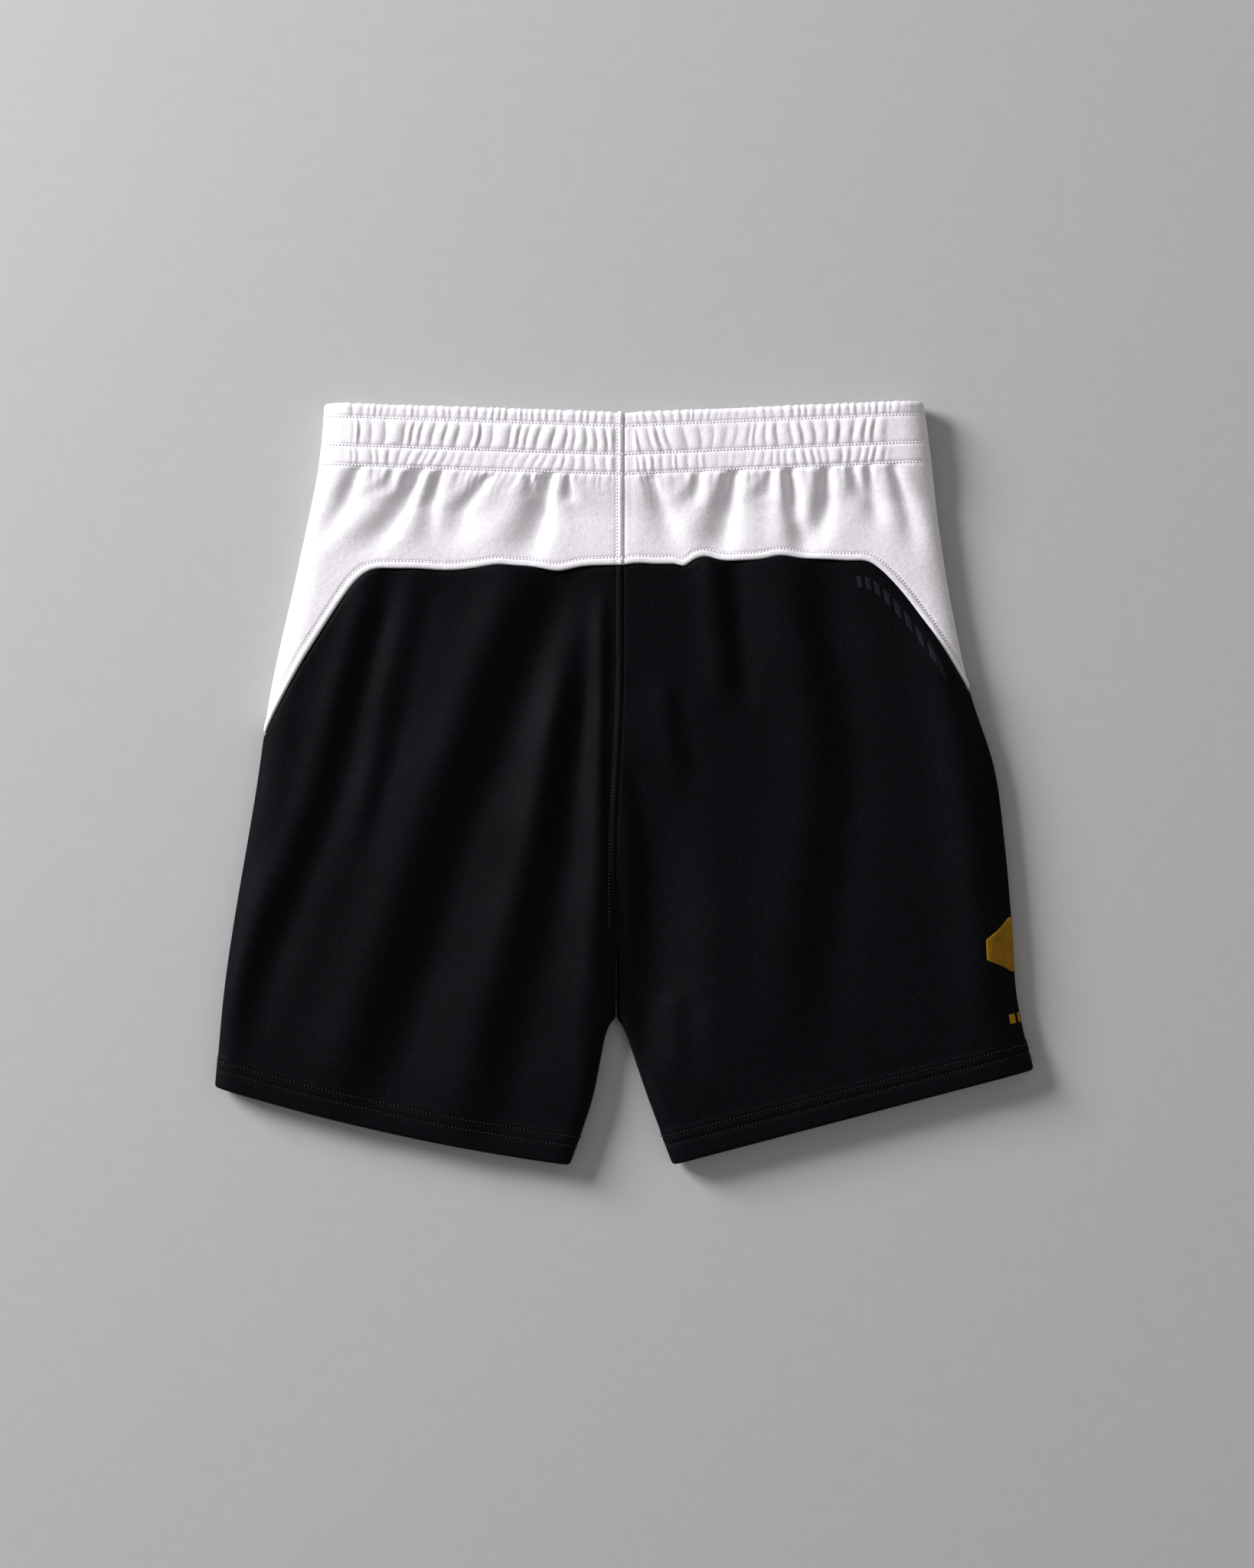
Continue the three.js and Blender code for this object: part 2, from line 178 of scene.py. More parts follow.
def acrossAt(column, width, depth, sink):
    inner, side = garment["innerRoll"], garment["sideRoll"]
    innerTurn = np.clip(column, 0, 1) * math.pi / 2
    sideTurn = np.clip(3 - column, 0, 1) * math.pi / 2
    atInner = sink * depth + (inner - sink * depth) * (1 - np.cos(innerTurn))
    atSide = width - depth - (side - depth) * (1 - np.cos(sideTurn))
    atFlat = lerp(inner, width - side, np.clip(column - 1, 0, 1))
    return np.where(column < 1, atInner, np.where(column > 2, atSide, atFlat))


def heightAt(column, sink):
    innerTurn = np.clip(column, 0, 1) * math.pi / 2
    sideTurn = np.clip(3 - column, 0, 1) * math.pi / 2
    return np.where(column < 1, 1 - sink * (1 - np.sin(innerTurn)), np.sin(sideTurn))


def skin(half, layer, column, run, depth=0.0):
    column, run, depth = np.broadcast_arrays(*(np.asarray(v, float) for v in (column, run, depth)))
    inner, outer = rowEnds(half, run)
    width = np.linalg.norm(outer - inner, axis=-1)
    sink = sinking(run)
    settled = smooth(run, garment["casing"], garment["casing"] + garment["waistTaper"])
    thick = lerp(waistThick, bodyThick, settled)
    share = acrossAt(column, width, depth, sink) / width
    bow = half["bow"] * (run / hemRun) * 4 * share * (1 - share)
    gap = garment["ease"] / 2
    lift = garment["tableGap"] if layer == "front" else 0
    above = gap + (thick / 2 - gap - lift - depth) * heightAt(column, sink)
    x = lerp(inner[..., 0], outer[..., 0], share) + half["toward"] * gap
    y = lerp(inner[..., 1], outer[..., 1], share) - bow
    return np.stack([x, y, thick / 2 + (above if layer == "back" else -above)], -1)


def skinFrame(half, layer, column, run):
    # outward normal and the direction down the cloth
    c = np.clip(column, 0.03, 2.97)
    r = np.clip(run, 1, hemRun - 1)
    sideways = skin(half, layer, c + 0.02, r) - skin(half, layer, c - 0.02, r)
    down = unit(skin(half, layer, c, r + 0.8) - skin(half, layer, c, r - 0.8))
    normal = unit(np.cross(down, sideways))
    turn = half["toward"] * (1 if layer == "back" else -1)
    return normal * turn, down


def seamRun(half, column):
    seam = half["seam"]
    inner, outer = rowEnds(half, np.full(np.shape(column), float(garment["yoke"])))
    width = np.linalg.norm(outer - inner, axis=-1)
    share = acrossAt(column, width, 0, 0) / width

    def bend(t):
        return (t + np.hypot(t, seam["round"])) / 2

    drop = seam["atSide"] - garment["yoke"] - seam["tilt"]
    run = garment["yoke"] + seam["tilt"] * share
    run = run + drop * bend(share - seam["corner"]) / bend(1 - seam["corner"])
    x = lerp(inner[..., 0], outer[..., 0], share)
    return run + sum(amount * bump(x, middle, width) for middle, width, amount in half["wave"])


def seamSlant(half, layer, column):
    # how much shorter the way across the seam is than the way down the cloth
    c = np.clip(column, 0.03, 2.97)
    low, high = seamRun(half, c - 0.02), seamRun(half, c + 0.02)
    middle = (low + high) / 2
    wide = skin(half, layer, c + 0.02, middle) - skin(half, layer, c - 0.02, middle)
    return 1 / np.hypot(1, (high - low) / np.maximum(np.linalg.norm(wide, axis=-1), 1e-6))


gathering = {
    "pitch": (5.0, 7.6, 5.8, 5.8),  # of the creases in each channel, waist fold downwards
    "height": (0.9, 1.4, 1.0, 0.7),
    "jitter": 0.3,
    "pinned": 0.12,  # share of the height left at a row
    "dieOut": 7.0,  # below the last row
    # beyond this the casing lies flat
    "reach": {"left": (190, 180, 182, 172), "right": (189, 172, 173, 168)},
    "calm": [("left", -88, 30, 0.75, (2,)), ("right", 70, 15, 0.7, (0, 1, 2)),
             ("right", 70, 22, 0.35, (2,)), ("left", -150, 8, 0.3, (0,))],
    "lean": {"left": (-0.06, -0.22, -0.42, -0.42), "right": (0.1, 0.24, 0.1, 0.1)},
}


def gatherSlant(half, channel, x):
    # towards +x for each mm down
    away = np.abs(x)
    lean = gathering["lean"][half["name"]][channel]
    if half["name"] == "left":
        return lean * smooth(away, 12, 60) * (1 - smooth(away, 135, 165)) + 0.06 * np.sin(away / 13)
    return lean * (1 - smooth(away, 35, 75)) * smooth(away, 2, 12) + 0.13 * np.sin(away / 17 + 1)


def creases(half, layer, channel):
    seed = 11 * channel + (100 if layer == "back" else 200) + (7 if half["name"] == "left" else 0)
    rng = np.random.default_rng(seed)
    pitch = gathering["pitch"][channel]
    count = int(250 / pitch)
    steps = pitch * (1 + gathering["jitter"] * rng.uniform(-1, 1, count))
    # now and then a narrow pleat stands beside a wide one
    steps *= np.where(rng.random(count) < 0.16, 0.6, 1) * np.where(rng.random(count) < 0.14, 1.3, 1)
    # ridges lean away from the light's side, so their steep flank is the right one
    skew = rng.uniform(0.95, 1.5, count) if half is rightHalf else rng.uniform(0.66, 1.05, count)
    return np.cumsum(steps) - pitch, rng.uniform(0.6, 1.1, count), skew


def puffs(half, layer, channel, x, run, middle):
    places, heights, skews = creases(half, layer, channel)
    away = np.abs(x - gatherSlant(half, channel, x) * (run - middle))
    away = away + 0.45 * np.sin(run / 3.1 + away / 11)
    place = np.interp(away, places, np.arange(len(places)))
    index = np.minimum(place.astype(int), len(places) - 2)
    q = np.clip(place - index, 0, 1) ** skews[index]
    high = heights[index] * (1 - np.abs(2 * q - 1) ** 1.9)
    reach = gathering["reach"][half["name"]][channel]
    high = high * (1 - smooth(np.abs(x), reach - 6, reach + 2)) * smooth(np.abs(x), 5, 9)
    for name, centre, width, amount, channels in gathering["calm"]:
        if name == half["name"] and channel in channels and layer == "back":
            high = high * (1 - amount * bump(x, centre, width) ** 0.5)
    return gathering["height"][channel] * high


def gathers(half, layer, x, run):
    rows = garment["rows"]
    edges = [-rows[0], *rows, 70]
    total = 0
    for channel in range(4):
        low, high = edges[channel], edges[channel + 1]
        middle = (max(low, 0) + min(high, 50)) / 2
        inside = smooth(run, low - 0.9, low + 0.9) * (1 - smooth(run, high - 0.9, high + 0.9))
        v = np.clip((run - low) / (high - low), 0, 1)
        swell = lerp(gathering["pinned"], 1, 1 - np.abs(2 * v - 1) ** 2.2)
        if channel == 3:
            swell = np.exp(-(run - low) / gathering["dieOut"]) * smooth(run, low - 1, low + 3)
        total = total + inside * swell * puffs(half, layer, channel, x, run, middle)
    return total


# Creases in the laid cloth: the points that a valley follows, how deep it is, and how wide
# its left and right flanks are.
backFolds = {
    "yoke": [
        ([(-174, 202), (-182, 181), (-199, 154)], 1.9, 9, 6),
        ([(-150, 203), (-154, 190)], 1.7, 5, 3.5),
        ([(-133, 203), (-144, 178), (-160, 155)], 4.0, 11, 5),
        ([(-120, 200), (-126, 181), (-127, 161)], 2.0, 7, 5),
        ([(-91, 196), (-105, 178), (-111, 157)], 1.8, 9, 7),
        ([(-61, 200), (-61, 186)], 1.4, 4.5, 3.5),
        ([(-48, 201), (-52, 178), (-60, 149)], 4.0, 11, 5.5),
        ([(-36, 199), (-35, 184)], 1.6, 4.5, 3),
        ([(19, 197), (29, 167), (35, 150)], 2.0, 8, 7),
        ([(49, 201), (47, 183)], 1.6, 5, 3.5),
        ([(72, 201), (67, 173), (64, 151)], 4.0, 9.5, 6.5),
        ([(95, 200), (93, 186)], 1.2, 5, 4),
        ([(108, 201), (112, 173), (118, 151)], 3.8, 5.5, 6.5),
        ([(132, 203), (132, 185), (127, 158)], 3.4, 7, 6),
        ([(148, 206), (155, 186)], 1.8, 4, 4.5),
        ([(159, 206), (165, 171)], 1.9, 4.5, 5),
        ([(176, 205), (186, 173), (190, 154)], 2.0, 5.5, 6),
    ],
    "panel": [
        ([(-15, 80), (-17, -60), (-28, -200)], -3.0, 9, 7),
    ],
}

# Rolling folds that run down the legs: a soft ridge on the left of the line and a hollow on
# its right. Points, height, and the width at the top and at the bottom.
rollingFolds = {
    "left": [
        ([(-156, 140), (-168, 100), (-182, 50), (-193, 0), (-212, -50), (-234, -100),
          (-248, -140), (-258, -190)], 2.8, 9, 12),
        ([(-131, 135), (-150, 50), (-160, 0), (-172, -40)], 1.1, 9, 6),
        ([(-53, 140), (-70, 100), (-88, 50), (-107, 0), (-125, -50), (-140, -100),
          (-157, -150), (-176, -215)], 5.2, 17, 19),
        ([(-32, 70), (-39, 40), (-45, 0), (-52, -50), (-65, -100), (-77, -150), (-88, -200),
          (-94, -240)], 4.0, 9, 17),
    ],
    "right": [
        ([(36, -140), (41, -190)], 1.0, 8, 8),
        ([(63, 150), (67, 105), (72, 50)], 2.4, 8, 9),
        ([(31, 65), (34, 35), (40, -5)], 1.2, 7, 8),
        ([(116, 150), (126, 90), (134, 45), (137, 0), (128, -60), (121, -110), (119, -175)],
         3.2, 14, 17),
        ([(214, 100), (226, 50), (235, 0), (242, -60), (247, -130), (252, -190)], 4.6, 14, 15),
    ],
}


# The seat falls away to the right of the centre seam, down to the crotch and a little below
crotchHollow = {"from": 28, "full": -60, "fades": (-118, -228), "deep": (8.0, 3.2),
                "bottom": (8, 17), "rises": 46}


def rolling(fold, x, y):
    points, high, above, below = fold
    px, py = np.array(points, float)[::-1].T
    share = smooth(y, py[0], py[-1])
    line = sum(np.interp(y + step, py, px) for step in (-24, -12, 0, 12, 24)) / 5
    d = (x - line) / lerp(below, above, share)
    long = py[-1] - py[0]
    fade = smooth(y, py[0] - 0.1 * long, py[0] + 0.2 * long)
    fade = fade * (1 - smooth(y, py[-1] - 0.12 * long, py[-1] + 0.1 * long))
    return -high * fade * d * np.exp(0.5 - d * d / 2)


def hollowed(x, y, sink, risen):
    # `risen` is how far the plain skin has already come up from the seam, as a share
    hollow = crotchHollow
    share = smooth(y, hollow["from"], hollow["full"])
    share = share * smooth(y, hollow["fades"][1], hollow["fades"][0])
    bottom = lerp(*hollow["bottom"], share)
    end = bottom + hollow["rises"]
    dip = lerp(*hollow["deep"], sink) * smooth(x, 0, bottom)
    return share * smooth(x, end, bottom) * (dip + risen * bodyThick / 2)


def frontFolds(kind):
    # the underside's own creases, fanning out towards the sides
    rng = np.random.default_rng(5 if kind == "yoke" else 6)
    top, low, deep, count = (202, 152, 2.2, 12) if kind == "yoke" else (120, -190, 2.4, 7)
    folds = []
    for x in np.linspace(-170, 170, count) + rng.uniform(-8, 8, count):
        lean = x * rng.uniform(0.05, 0.2)
        points = [(x, top), (x + lean / 2, (top + low) / 2 + 5), (x + lean, low)]
        wide = rng.uniform(6, 10) if kind == "yoke" else rng.uniform(13, 19)
        folds.append((points, deep * rng.uniform(0.4, 1), wide, wide * rng.uniform(0.6, 1)))
    return folds


foldSets = {"back": backFolds, "front": {kind: frontFolds(kind) for kind in ("yoke", "panel")}}


def valley(fold, x, y):
    points, deep, wide, narrow = fold
    px, py = np.array(points, float)[::-1].T
    d = x - np.interp(y, py, px)
    # beyond its ends a crease carries on in line while it fades
    d = d - np.where(y > py[-1], (y - py[-1]) * (px[-1] - px[-2]) / (py[-1] - py[-2]), 0)
    d = d - np.where(y < py[0], (y - py[0]) * (px[1] - px[0]) / (py[1] - py[0]), 0)
    long = py[-1] - py[0]
    fade = smooth(y, py[0] - 0.25 * long, py[0] + 0.3 * long)
    fade = fade * (1 - smooth(y, py[-1] + min(2, 0.1 * long), py[-1] + max(4, 0.2 * long)))
    spread = lerp(1.3, 0.6, smooth(y, py[0], py[-1]))
    d = d / spread
    hollow = np.where(d < 0, bump(d, 0, wide), bump(d, 0, narrow))
    ridges = 0.2 * bump(d, 2.4 * narrow, 1.5 * narrow) + 0.3 * bump(d, -2.1 * wide, 1.1 * wide)
    return deep * fade * (ridges - hollow)


def ripple(x, y, size, seed):
    # slow unevenness of cloth that was smoothed by hand
    rng = np.random.default_rng(seed)
    total = 0
    for _ in range(7):
        angle = rng.uniform(0, math.pi)
        stride = size * rng.uniform(0.7, 1.5)
        phase = rng.uniform(0, 2 * math.pi)
        total = total + np.sin((x * math.cos(angle) + y * math.sin(angle)) * 6.283 / stride + phase)
    return total / 7


relief = {
    "weltHigh": 0.7,  # cloth turned under at a seam
    "weltWide": 4.4,
    "threadDent": 0.85,
    "groove": 0.65,
    "grooveWide": 1.0,
    "sideGroove": 0.6,
    "hemStep": {"left": 0.4, "right": 0.8},
    "hemDent": {"left": (0.5, 0.5), "right": (1.0, 0.7)},
    "ripple": 0.7,
    "frontCreases": 0.6,
}


def dome(distance, wide):
    # rounded ridge from a seam's edge to its topstitch
    t = np.clip(distance / wide, 0, 1)
    return np.sqrt(np.clip(1 - (2 * t - 1) ** 2, 0, 1)) * (distance < wide)


def eyeletMiddle(half):
    low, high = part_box(f"eyelet_{half['name']}")
    return (low + high) / 2 * 1000


def heights(half, layer, kind, column, run, place, inside):
    # how far the cloth stands off the plain skin: `sway` moves both plies, `fine` is its own
    x, y = place[..., 0], place[..., 1]
    sink = sinking(run)
    slope = heightAt(column, sink)
    inner, outer = rowEnds(half, run)
    across = acrossAt(column, np.linalg.norm(outer - inner, axis=-1), 0, 0)
    turned = np.clip(column, 0, 1) * math.pi / 2 * garment["innerRoll"] * 0.9
    fromCentre = np.where(column < 1, lerp(across, turned, sink), 99)
    fromSide = np.clip(3 - column, 0, 1) * math.pi / 2 * garment["sideRoll"] * 0.9
    fromSide = np.where(column < 2, 99, fromSide)

    sway = sum(valley(fold, x, y) for fold in foldSets[layer][kind])
    if kind == "yoke":
        sway = sway * 0.95
    if kind == "panel" and layer == "back":
        sway = sway + sum(rolling(fold, x, y) for fold in rollingFolds[half["name"]])
    sway = sway * smooth(run, garment["rows"][2] - 1, garment["rows"][2] + 4)
    steady = smooth(run, 42, 70) * (1 - 0.5 * smooth(run, hemRun - 30, hemRun))
    sway = sway + relief["ripple"] * steady * ripple(x, y, 70, 3 if layer == "back" else 4)
    sway = sway * slope**1.5 * smooth(fromCentre, 0, 9)
    if kind == "panel" and half is rightHalf:
        if layer == "back":
            sway = sway - hollowed(x, y, sink, slope - (1 - sink))
        else:
            sway = sway * (1 - 0.8 * smooth(x, 70, 50) * smooth(y, -20, -70))
    if kind == "panel":
        sway = sway * (1 - 0.35 * smooth(run, hemRun - 24, hemRun))

    fine = 0
    if kind == "yoke":
        fine = gathers(half, layer, x, run)
        if layer == "front":
            # its ridges already rest on the table, so the creases go inwards
            casing = garment["casing"]
            fine = fine - relief["frontCreases"] * smooth(run, casing + 6, casing)
        for row in garment["rows"]:
            fine = fine - relief["threadDent"] * bump(run, row, 0.95)
        fine = fine + 0.35 * smooth(run, 42, 37)
    flat = 1 - smooth(np.abs(column - 1.5), 1.35, 1.5)
    if layer == "front" and kind == "yoke":
        middle = eyeletMiddle(half)
        near = 1 - smooth(np.hypot(x - middle.x, y - middle.y), 5.5, 9)
        fine = fine * (1 - near)
    fine = fine * flat
    dent = relief["groove"] * bump(fromCentre, 0, relief["grooveWide"])
    dent = dent + relief["sideGroove"] * bump(fromSide, 0, 1.1)
    fine = fine - dent
    if half is leftHalf:
        fading = 1 - smooth(run, garment["rise"] - 110, garment["rise"] - 50)
        welt = relief["weltHigh"] * dome(fromCentre - 0.2, relief["weltWide"] - 0.2)
        welt = welt - 0.45 * relief["threadDent"] * bump(fromCentre, relief["weltWide"] + 0.3, 0.8)
        welt = welt + 0.5 * smooth(run, 8, 0) * (1 - smooth(fromCentre, 3.5, 5))
        fine = fine + welt * fading * (1 - inside)
    toSeam = np.abs(run - seamRun(half, column)) * seamSlant(half, layer, column)
    toSeam = np.where(inside > 0, 99, toSeam)
    if kind == "yoke":
        fine = fine + relief["weltHigh"] * dome(toSeam, relief["weltWide"])
        fine = fine - 0.7 * relief["threadDent"] * bump(toSeam, relief["weltWide"] + 0.4, 0.8)
        fine = fine - 0.5 * bump(toSeam, 0, 0.5)
    else:
        fine = fine - 1.2 * bump(toSeam, 0, 1.8)
        for up, deep in zip(garment["hemRows"], relief["hemDent"][half["name"]]):
            fine = fine - deep * bump(run, hemRun - up, 0.9)
        fine = fine + relief["hemStep"][half["name"]] * smooth(run, hemRun - 24, hemRun - 20)
        fine = fine * np.where(fromCentre < 90, smooth(fromCentre, -3, 3), 1)
    return sway, fine


def offTable(z):
    # cloth pressed towards the table flattens instead of passing through it
    return np.where(z > 1, z, 0.1 + 0.9 * np.exp((np.minimum(z, 1) - 1) / 0.9))


def onCloth(half, layer, kind, column, run, lift):
    column, run = np.broadcast_arrays(np.asarray(column, float), np.asarray(run, float))
    place = skin(half, layer, column, run)
    normal, _ = skinFrame(half, layer, column, run)
    sway, fine = heights(half, layer, kind, column, run, place, 0 * run)
    out = place + normal * (sway + fine)[..., None]
    out[..., 2] = offTable(out[..., 2])
    return out + normal * lift


def putIn(name, data):
    piece = bpy.data.objects.new(name, data)
    bpy.context.collection.objects.link(piece)
    return piece


def newMesh(name, points, faces, material, uv=None, smoothShade=True):
    mesh = bpy.data.meshes.new(name)
    shape = np.shape(faces)
    used, faces = np.unique(faces, return_inverse=True)
    faces = faces.reshape(shape).astype(np.int32)
    points = np.asarray(points)[used]
    mesh.vertices.add(len(points))
    mesh.vertices.foreach_set("co", (points / 1000).astype(np.float32).ravel())
    mesh.loops.add(faces.size)
    mesh.loops.foreach_set("vertex_index", faces.ravel())
    mesh.polygons.add(len(faces))
    mesh.polygons.foreach_set("loop_start", np.arange(0, faces.size, faces.shape[1], dtype=np.int32))
    mesh.update(calc_edges=True)
    if uv is not None:
        layer = mesh.uv_layers.new(name="clothMap")
        layer.data.foreach_set("uv", np.asarray(uv, np.float32)[used][faces.ravel()].ravel())
    if smoothShade:
        mesh.shade_smooth()
    mesh.validate()
    mesh.materials.append(material)
    return putIn(name, mesh)


def wall(outside, inside, gone=None):
    # faces of a thin closed wall between two grids of points, and its points in one list;
    # `gone` marks the quads of a hole
    lines, steps = outside.shape[:2]
    points = np.concatenate([outside.reshape(-1, 3), inside.reshape(-1, 3)])
    index = np.arange(lines * steps).reshape(lines, steps)
    a, b, c, d = index[:-1, :-1], index[1:, :-1], index[1:, 1:], index[:-1, 1:]
    quads = np.stack([a, b, c, d], -1)
    kept = np.ones(a.shape, bool) if gone is None else ~gone
    top = quads[kept]
    shift = lines * steps
    faces = [top, top[:, ::-1] + shift]
    # the hole's edge, where a missing quad meets a kept one
    framed = np.pad(kept, 1)
    beside = [framed[1:-1, :-2], framed[2:, 1:-1], framed[1:-1, 2:], framed[:-2, 1:-1]]
    for side, neighbour in enumerate(beside):
        edge = quads[~kept & neighbour][:, [side, (side + 1) % 4]]
        faces.append(np.concatenate([edge, edge[:, ::-1] + shift], -1))

    def rim(edge):
        faces.append(np.stack([edge[1:], edge[:-1], edge[:-1] + shift, edge[1:] + shift], -1))

    for edge in (index[:, 0], index[::-1, -1], index[0, ::-1], index[-1, :]):
        rim(edge)
    faces = np.concatenate(faces)
    # a wall that came out inside out is turned round
    p = points[top]
    area = np.cross(p[:, 2] - p[:, 0], p[:, 3] - p[:, 1])
    away = outside.reshape(-1, 3)[top].mean(1) - inside.reshape(-1, 3)[top].mean(1)
    if (area * away).sum() < 0:
        faces = faces[:, ::-1]
    return points, faces


def clothColumns(flatStep):
    flatWidth, rollLines = 172, 17  # the width is a rough one, for the number of steps
    inner = np.arccos(1 - np.linspace(0, 1, rollLines)) / (math.pi / 2)
    flat = 1 + np.linspace(0, 1, int(flatWidth / flatStep))[1:]
    side = 3 - np.linspace(1, 0, rollLines)[1:]
    return np.concatenate([inner, flat, side])


def clothWall(half, layer, kind, columns, strips, arc, angle, radius, behind, material):
    # `strips` are the runs of the outer ply, `arc` those of the fold, and `behind` those of
    # the ply that is folded in; turn goes from 0 on the outer ply to pi on the ply behind
    runs = np.hstack([*strips, arc, behind])
    plain = np.zeros_like(np.hstack(strips))
    hidden = np.zeros_like(behind)
    depths = np.hstack([plain, radius - radius * np.cos(angle), hidden + 2 * radius])
    turn = np.hstack([plain, angle, hidden + math.pi])
    way = -1 if kind == "yoke" else 1
    column = np.broadcast_to(columns[:, None], runs.shape)
    place = skin(half, layer, column, runs, depths)
    normal, down = skinFrame(half, layer, column, runs)
    sway, fine = heights(half, layer, kind, column, runs, place, (turn > 1.6) * 1.0)
    facing = unit(normal * np.cos(turn)[..., None] + way * down * np.sin(turn)[..., None])
    outer = place + facing * fine[..., None] + normal * sway[..., None]
    press = outer[..., 2] * 0
    if layer == "front":
        press = offTable(outer[..., 2]) - outer[..., 2]
    outer = outer + press[..., None] * [0, 0, 1]
    inner = outer - facing * garment["cloth"]
    stepAcross = np.linalg.norm(np.diff(place, axis=0, prepend=place[:1]), axis=-1)
    stepDown = np.linalg.norm(np.diff(place, axis=1, prepend=place[:, :1]), axis=-1)
    s, t = np.cumsum(stepAcross, 0), np.cumsum(stepDown, 1)
    t = t - t[:, -1:]
    uv = np.stack([half["toward"] * s, t], -1).reshape(-1, 2) / 1000
    gone = None
    if layer == "front" and kind == "yoke":
        middle = eyeletMiddle(half)
        centres = (outer[:-1, :-1] + outer[1:, 1:]) / 2
        away = np.hypot(centres[..., 0] - middle.x, centres[..., 1] - middle.y)
        gone = away < garment["eyeletHole"]
        gone = gone & (turn[1:, 1:] < 0.1)
    points, faces = wall(outer, inner, gone=gone)
    name = f"{layer}_{kind}_{half['name']}_cloth"
    return newMesh(name, points, faces, material, np.concatenate([uv, uv]))


yokeGrid = {
    "across": 0.8,
    "seam": np.array([0, 0.35, 0.8, 1.3, 1.9, 2.6, 3.3, 4, 4.5, 5, 5.7, 6.6]),
    "gathered": 53.0,  # fine rows from here up to the waist
    "lines": 30,
    "down": 1.25,
    "fold": 2.6,
    "turns": 11,
    "facing": 1.6,
}


def yokeWall(half, layer, material):
    grid = yokeGrid
    columns = clothColumns(grid["across"])
    seam = (seamRun(half, columns) - garment["ease"] / 2)[:, None]
    edge = seam - grid["seam"] / seamSlant(half, layer, columns)[:, None]
    top = grid["gathered"]
    middle = lerp(edge[:, -1:], top, np.linspace(0, 1, grid["lines"])[1:])
    casing = np.arange(top - 1.3, grid["fold"], -grid["down"]) + 0 * seam
    radius = garment["cloth"] + garment["tunnel"] / 2
    angle = np.linspace(0, math.pi, grid["turns"]) + 0 * seam
    arc = radius - radius * np.sin(angle)
    behind = np.arange(grid["fold"] + grid["facing"], garment["facing"], grid["facing"]) + 0 * seam
    strips = [edge, middle, casing]
    return clothWall(half, layer, "yoke", columns, strips, arc, angle, radius, behind, material)


panelGrid = {
    "across": 1.7,
    "seam": np.array([0, 0.4, 0.9, 1.6, 2.4, 3.4, 4.8]),
    "hemmed": 27.0,  # fine rows from here down to the hem
    "lines": 120,
    "down": 1.2,
    "turns": 9,
    "flap": 1.8,
}


def panelWall(half, layer, material):
    grid = panelGrid
    columns = clothColumns(grid["across"])
    seam = (seamRun(half, columns) + garment["ease"] / 2)[:, None]
    edge = seam + grid["seam"] / seamSlant(half, layer, columns)[:, None]
    low = hemRun - grid["hemmed"]
    middle = lerp(edge[:, -1:], low, np.linspace(0, 1, grid["lines"])[1:])
    radius = garment["cloth"] + garment["hemGap"] / 2
    end = hemRun - radius
    hem = np.arange(low + grid["down"], end, grid["down"]) + 0 * seam
    angle = np.linspace(0, math.pi, grid["turns"]) + 0 * seam
    arc = end + radius * np.sin(angle)
    behind = np.arange(end - grid["flap"], hemRun - garment["hemFlap"], -grid["flap"]) + 0 * seam
    strips = [edge, middle, hem]
    return clothWall(half, layer, "panel", columns, strips, arc, angle, radius, behind, material)


def node(tree, kind, **settings):
    made = tree.nodes.new(kind)
    for key, value in settings.items():
        setattr(made, key, value)
    return made


def fill(made, **sockets):
    for key, value in sockets.items():
        made.inputs[key].default_value = value
    return made


def startMaterial(name, roughness, **sockets):
    material = bpy.data.materials.new(name)
    material.use_nodes = True
    tree = material.node_tree
    shader = fill(tree.nodes["Principled BSDF"], Roughness=roughness, **sockets)
    return material, tree, shader, node(tree, "ShaderNodeTexCoord").outputs["Object"]


def noise(tree, coords, scale, detail, rough):
    made = fill(node(tree, "ShaderNodeTexNoise"), Scale=scale, Detail=detail, Roughness=rough)
    tree.links.new(coords, made.inputs["Vector"])
    return made.outputs["Fac"]


def colourFrom(tree, shader, factor, low, dark, high, light):
    made = node(tree, "ShaderNodeValToRGB")
    first, last = made.color_ramp.elements
    first.position, last.position = low, high
    first.color, last.color = (*dark, 1), (*light, 1)
    tree.links.new(factor, made.inputs["Fac"])
    tree.links.new(made.outputs["Color"], shader.inputs["Base Color"])


def blendOf(tree, parts):
    # weighted sum of several grey patterns
    total = None
    for value, weight in parts:
        step = node(tree, "ShaderNodeMath", operation="MULTIPLY_ADD")
        tree.links.new(value, step.inputs[0])
        step.inputs[1].default_value = weight
        if total is None:
            step.inputs[2].default_value = 0
        else:
            tree.links.new(total, step.inputs[2])
        total = step.outputs[0]
    return total


def bumpOn(tree, shader, parts):
    normal = None
    for height, strength, distance in parts:
        made = node(tree, "ShaderNodeBump")
        fill(made, Strength=strength, Distance=distance)
        tree.links.new(height, made.inputs["Height"])
        if normal is not None:
            tree.links.new(normal, made.inputs["Normal"])
        normal = made.outputs["Normal"]
    tree.links.new(normal, shader.inputs["Normal"])


def roughnessFrom(tree, shader, value, low, high):
    made = node(tree, "ShaderNodeMapRange")
    fill(made, **{"To Min": low, "To Max": high})
    tree.links.new(value, made.inputs["Value"])
    tree.links.new(made.outputs["Result"], shader.inputs["Roughness"])


